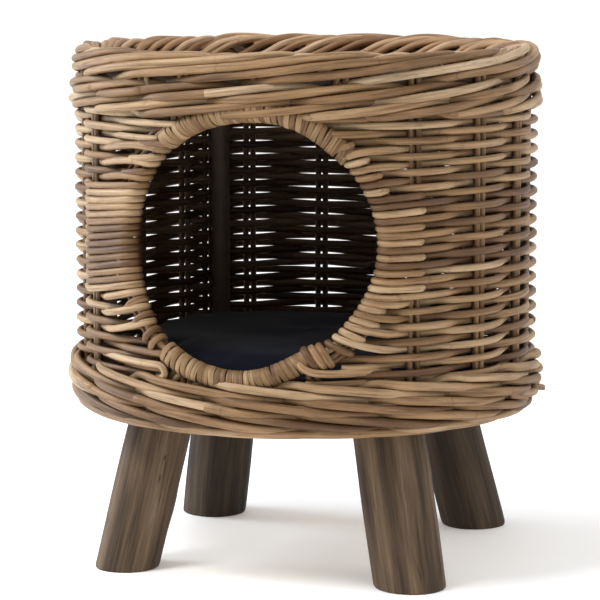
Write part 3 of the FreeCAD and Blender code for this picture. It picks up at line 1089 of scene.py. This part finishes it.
def make_cushion(material):
    """A round stuffed cushion, inflated as cloth, with a piped seam round its middle."""
    lo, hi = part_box("cushion")
    radius = (hi.x - lo.x) / 2
    thick = hi.z - lo.z
    middle = (hi.z + lo.z) / 2
    mesh = bmesh.new()
    rings = 12
    around = 72
    profile = []
    for k in range(rings + 1):
        turn = math.pi * k / rings
        profile.append(((radius - 16 * MM) + 8 * MM * math.sin(turn), -0.30 * thick * math.cos(turn)))
    verts = []
    turns = [TURN * i / around for i in range(around)]
    for r, z in profile:
        verts.append([mesh.verts.new((r * math.cos(turn), r * math.sin(turn), z)) for turn in turns])
    for k in range(rings):
        for i in range(around):
            j = (i + 1) % around
            mesh.faces.new((verts[k][i], verts[k][j], verts[k + 1][j], verts[k + 1][i]))
    mesh.faces.new(list(reversed(verts[0])))
    mesh.faces.new(verts[-1])
    data = bpy.data.meshes.new("cushion_cover")
    mesh.to_mesh(data)
    mesh.free()
    cushion = bpy.data.objects.new("cushion_cover", data)
    bpy.context.scene.collection.objects.link(cushion)
    cushion.location = (0, 0, middle)
    apply_modifier(cushion, "REMESH", mode="VOXEL", voxel_size=6 * MM)
    inflate(cushion, 9 * MM)
    cushion.data.transform(cushion.matrix_world)
    cushion.location = (0, 0, 0)
    bpy.context.view_layer.update()
    fit_cushion(cushion, lo, hi, radius)
    apply_modifier(cushion, "SUBSURF", levels=1)
    cushion.data.polygons.foreach_set("use_smooth", [True] * len(cushion.data.polygons))
    cushion.data.materials.clear()
    cushion.data.materials.append(material)
    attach(cushion, "cushion")
    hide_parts("cushion")
    return cushion


def apply_modifier(obj, kind, **settings):
    modifier = obj.modifiers.new(kind.lower(), kind)
    for key, value in settings.items():
        setattr(modifier, key, value)
    bpy.context.view_layer.update()
    evaluated = obj.evaluated_get(bpy.context.evaluated_depsgraph_get())
    made = bpy.data.meshes.new_from_object(evaluated)
    obj.modifiers.clear()
    obj.data = made


def inflate(obj, farthest):
    """Blows the cover up as cloth under pressure, and caps how far any point moves."""
    rest = np.array([v.co for v in obj.data.vertices])
    cloth = obj.modifiers.new("cloth", "CLOTH")
    cloth.settings.use_pressure = True
    cloth.settings.uniform_pressure_force = 4.0
    cloth.settings.effector_weights.gravity = 0.0
    cloth.settings.quality = 5
    cloth.point_cache.frame_start = 1
    cloth.point_cache.frame_end = 20
    for step in range(1, 21):
        bpy.context.scene.frame_set(step)
    evaluated = obj.evaluated_get(bpy.context.evaluated_depsgraph_get())
    blown = np.array([v.co for v in evaluated.data.vertices])
    obj.modifiers.clear()
    bpy.context.scene.frame_set(1)
    moved = blown - rest
    far = np.linalg.norm(moved, axis=1, keepdims=True)
    moved *= np.minimum(1, farthest / np.maximum(far, 1e-9))
    obj.data.vertices.foreach_set("co", (rest + moved).astype(np.float32).ravel())
    obj.data.update()


def fit_cushion(obj, lo, hi, radius):
    """Flattens the underside on the board, dents and puckers the cover, and draws it in at the seam."""
    co = np.array([v.co for v in obj.data.vertices])
    middle = (lo.z + hi.z) / 2
    reach = np.hypot(co[:, 0], co[:, 1])
    turn = np.arctan2(co[:, 1], co[:, 0])
    dent = 2.2 * MM * np.sin(3 * turn + 0.6) * (reach / radius) ** 2
    dent = dent + 1.6 * MM * np.sin(reach * 55 + 2 * turn)
    near_seam = np.exp(-(((reach - radius) / (20 * MM)) ** 2))
    pucker = 1.3 * MM * near_seam * np.sin(46 * turn + 1.7 * np.sin(5 * turn))
    above = np.clip((co[:, 2] - middle) / (8 * MM), -1, 1)
    co[:, 2] += np.where(above > 0, dent - 1.5 * MM, 0) * np.abs(above) + pucker * above
    co[:, 2] = np.clip(co[:, 2], lo.z, hi.z)
    groove = PIPING * 1.6 * np.exp(-(((co[:, 2] - middle) / (5 * MM)) ** 2))
    shrink = np.minimum(1, (radius - 0.5 * MM - groove) / np.maximum(reach, 1e-9))
    co[:, :2] *= shrink[:, None]
    obj.data.vertices.foreach_set("co", co.astype(np.float32).ravel())
    obj.data.update()


def make_piping(cushion, material):
    """The cord sewn into the seam round the cushion's side, laid in the groove of its cover."""
    lo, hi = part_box("cushion")
    middle = (lo.z + hi.z) / 2
    co = np.array([v.co for v in cushion.data.vertices])
    co = co[np.abs(co[:, 2] - middle) < 3 * MM]
    places = np.linspace(-math.pi, math.pi, 181)[:-1]
    turn = np.arctan2(co[:, 1], co[:, 0])
    order = np.argsort(turn)
    reach = np.interp(places, turn[order], np.hypot(co[:, 0], co[:, 1])[order], period=TURN)
    reach = np.minimum(reach + PIPING * 0.6, (hi.x - lo.x) / 2 - PIPING)
    for _ in range(3):
        reach = (np.roll(reach, 1) + 2 * reach + np.roll(reach, -1)) / 4
    level = middle + 0.6 * MM * np.sin(4 * places + 1)
    bundle = Bundle(72)
    line = np.stack([reach * np.cos(places), reach * np.sin(places), level], -1)
    bundle.add(line, PIPING, closed=True, wobble=0.02)
    piece = bundle.build("cushion_piping", material, "cushion")


# ---------------------------------------------------------------- putting it together

def main():
    rod_wood = rattan("rattan_rod", ROD_TONES)
    stick_wood = rattan("rattan_stick", ROD_TONES, rings=False)
    # inside=1.0 leaves the rim and the top panel without the painted shade
    top_wood = rattan("rattan_top", TOP_TONES, inside=1.0)
    wale_wood = rattan("rattan_wale", TOP_TONES)
    peel = rattan("rattan_peel", PEEL_TONES, streaks=0.8, rings=False, roughness=0.6, bump=0.6)
    pole = pole_wood()
    ply = plywood()
    steel = zinc()

    def place(bundle, name, material, slot, *nodes):
        piece = bundle.build(name, material)
        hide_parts(*nodes)
        return piece

    place(make_wall(), "wall_rods", rod_wood, "rattan_rod", "wall_weave")
    place(make_stakes(), "stake_sticks", stick_wood, "rattan_rod", "stakes")
    wraps = make_doorway_wraps()
    place(wraps[-1], "door_wrap_left_rods", rod_wood, "rattan_rod", "door_wrap_left")
    place(wraps[1], "door_wrap_right_rods", rod_wood, "rattan_rod", "door_wrap_right")
    place(make_base_border(), "base_border_rods", rod_wood, "rattan_rod", "base_border")
    place(make_foot_border(), "foot_border_rods", rod_wood, "rattan_rod", "foot_border")
    place(make_upper_wale(), "upper_wale_rods", wale_wood, "rattan_rod", "upper_wale")
    place(make_top_border(), "top_border_rods", top_wood, "rattan_rod", "top_border")
    place(make_top_panel(), "top_panel_rods", top_wood, "rattan_rod", "top_panel")
    place(make_door_ring(), "door_ring_rod", stick_wood, "rattan_pole", "door_ring")
    place(make_binding(44, 128, 52), "door_binding_top_peel", peel, "rattan_peel", "door_binding_top")
    lower = make_binding(232.5, 299, 53)
    place(lower, "door_binding_bottom_peel", peel, "rattan_peel", "door_binding_bottom")
    cloth = dark_cloth()
    make_piping(make_cushion(cloth), cloth)
    front_wood = leg_wood("leg_wood", 1.0)
    # The rear legs get a half-bright copy of the wood: painted shade, as they stand in shade behind the front
    # ones
    rear_wood_painted_shade = leg_wood("leg_wood_painted_shade", 0.5)
    make_leg("leg_front_left", front_wood, 61)
    make_leg("leg_front_right", front_wood, 62)
    make_leg("leg_rear_left", rear_wood_painted_shade, 63)
    make_leg("leg_rear_right", rear_wood_painted_shade, 64)

    for name, cad_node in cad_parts.items():
        if cad_node.hide_render:
            continue
        if name == "base_board":
            chosen = ply
        elif name in ("leg_screws", "frame_nails"):
            chosen = steel
        else:
            chosen = pole
        cad_node.data.materials.clear()
        cad_node.data.materials.append(chosen)


main()


# ---------------------------------------------------------------- studio

def make_camera():
    """The viewpoint: a long lens from a little to the right of the doorway and slightly above."""
    camera_data = bpy.data.cameras.new("camera")
    camera = bpy.data.objects.new("camera", camera_data)
    bpy.context.scene.collection.objects.link(camera)
    azimuth = math.radians(14.5)
    distance = 2.4725
    height = 0.5764
    pitch = math.radians(7.89)
    camera.location = (distance * math.sin(azimuth), -distance * math.cos(azimuth), height)
    camera.rotation_euler = (math.pi / 2 - pitch, 0, azimuth)
    camera_data.sensor_width = 36
    camera_data.lens = 160.26
    camera_data.shift_x = -0.00983
    camera_data.clip_start = 0.05
    camera_data.clip_end = 50
    bpy.context.scene.camera = camera


def area_light(name, place, target, size, power, colour):
    light_data = bpy.data.lights.new(name, "AREA")
    light_data.size = size
    light_data.energy = power
    light_data.color = colour
    light = bpy.data.objects.new(name, light_data)
    light.location = place
    light.rotation_euler = (Vector(target) - Vector(place)).to_track_quat("-Z", "Y").to_euler()
    bpy.context.scene.collection.objects.link(light)


def make_studio():
    """A plain pale floor, a white surround and soft light, brighter and cooler from the left."""
    mesh = bpy.data.meshes.new("floor")
    size = 30.0
    corners = [(-size, -size, 0), (size, -size, 0), (size, size, 0), (-size, size, 0)]
    mesh.from_pydata(corners, [], [(0, 1, 2, 3)])
    floor = bpy.data.objects.new("floor", mesh)
    bpy.context.scene.collection.objects.link(floor)
    material, tree = new_material("floor")
    shader = tree.nodes["Principled BSDF"]
    shader.inputs["Base Color"].default_value = (0.97, 0.97, 0.97, 1)
    shader.inputs["Roughness"].default_value = 0.9
    shader.inputs["Emission Color"].default_value = (1, 1, 1, 1)
    shader.inputs["Emission Strength"].default_value = 0.15
    mesh.materials.append(material)
    world = bpy.data.worlds.new("surround")
    bpy.context.scene.world = world
    world.use_nodes = True
    tree = world.node_tree
    place = node(tree, "ShaderNodeTexCoord").outputs["Generated"]
    apart = node(tree, "ShaderNodeSeparateXYZ", {0: place})
    behind = maths(tree, "ADD", apart.outputs[1], maths(tree, "MULTIPLY", apart.outputs[2], 0.9))
    strength = mapped(tree, behind, (-0.45, 0.35), (0.34, 1.0))
    background = tree.nodes["Background"]
    background.inputs[0].default_value = (1, 1, 1, 1)
    tree.links.new(strength, background.inputs[1])
    centre = (0, 0, 0.3)
    area_light("key", (-1.3, -1.3, 2.4), centre, 0.9, 50, (0.97, 0.98, 1.0))
    area_light("edge", (-2.2, 0.1, 1.1), centre, 1.0, 34, (0.78, 0.89, 1.0))
    area_light("fill", (2.0, -1.8, 0.9), centre, 1.6, 7, (1.0, 0.90, 0.78))
    bpy.context.scene.view_settings.view_transform = "Standard"


make_camera()
make_studio()
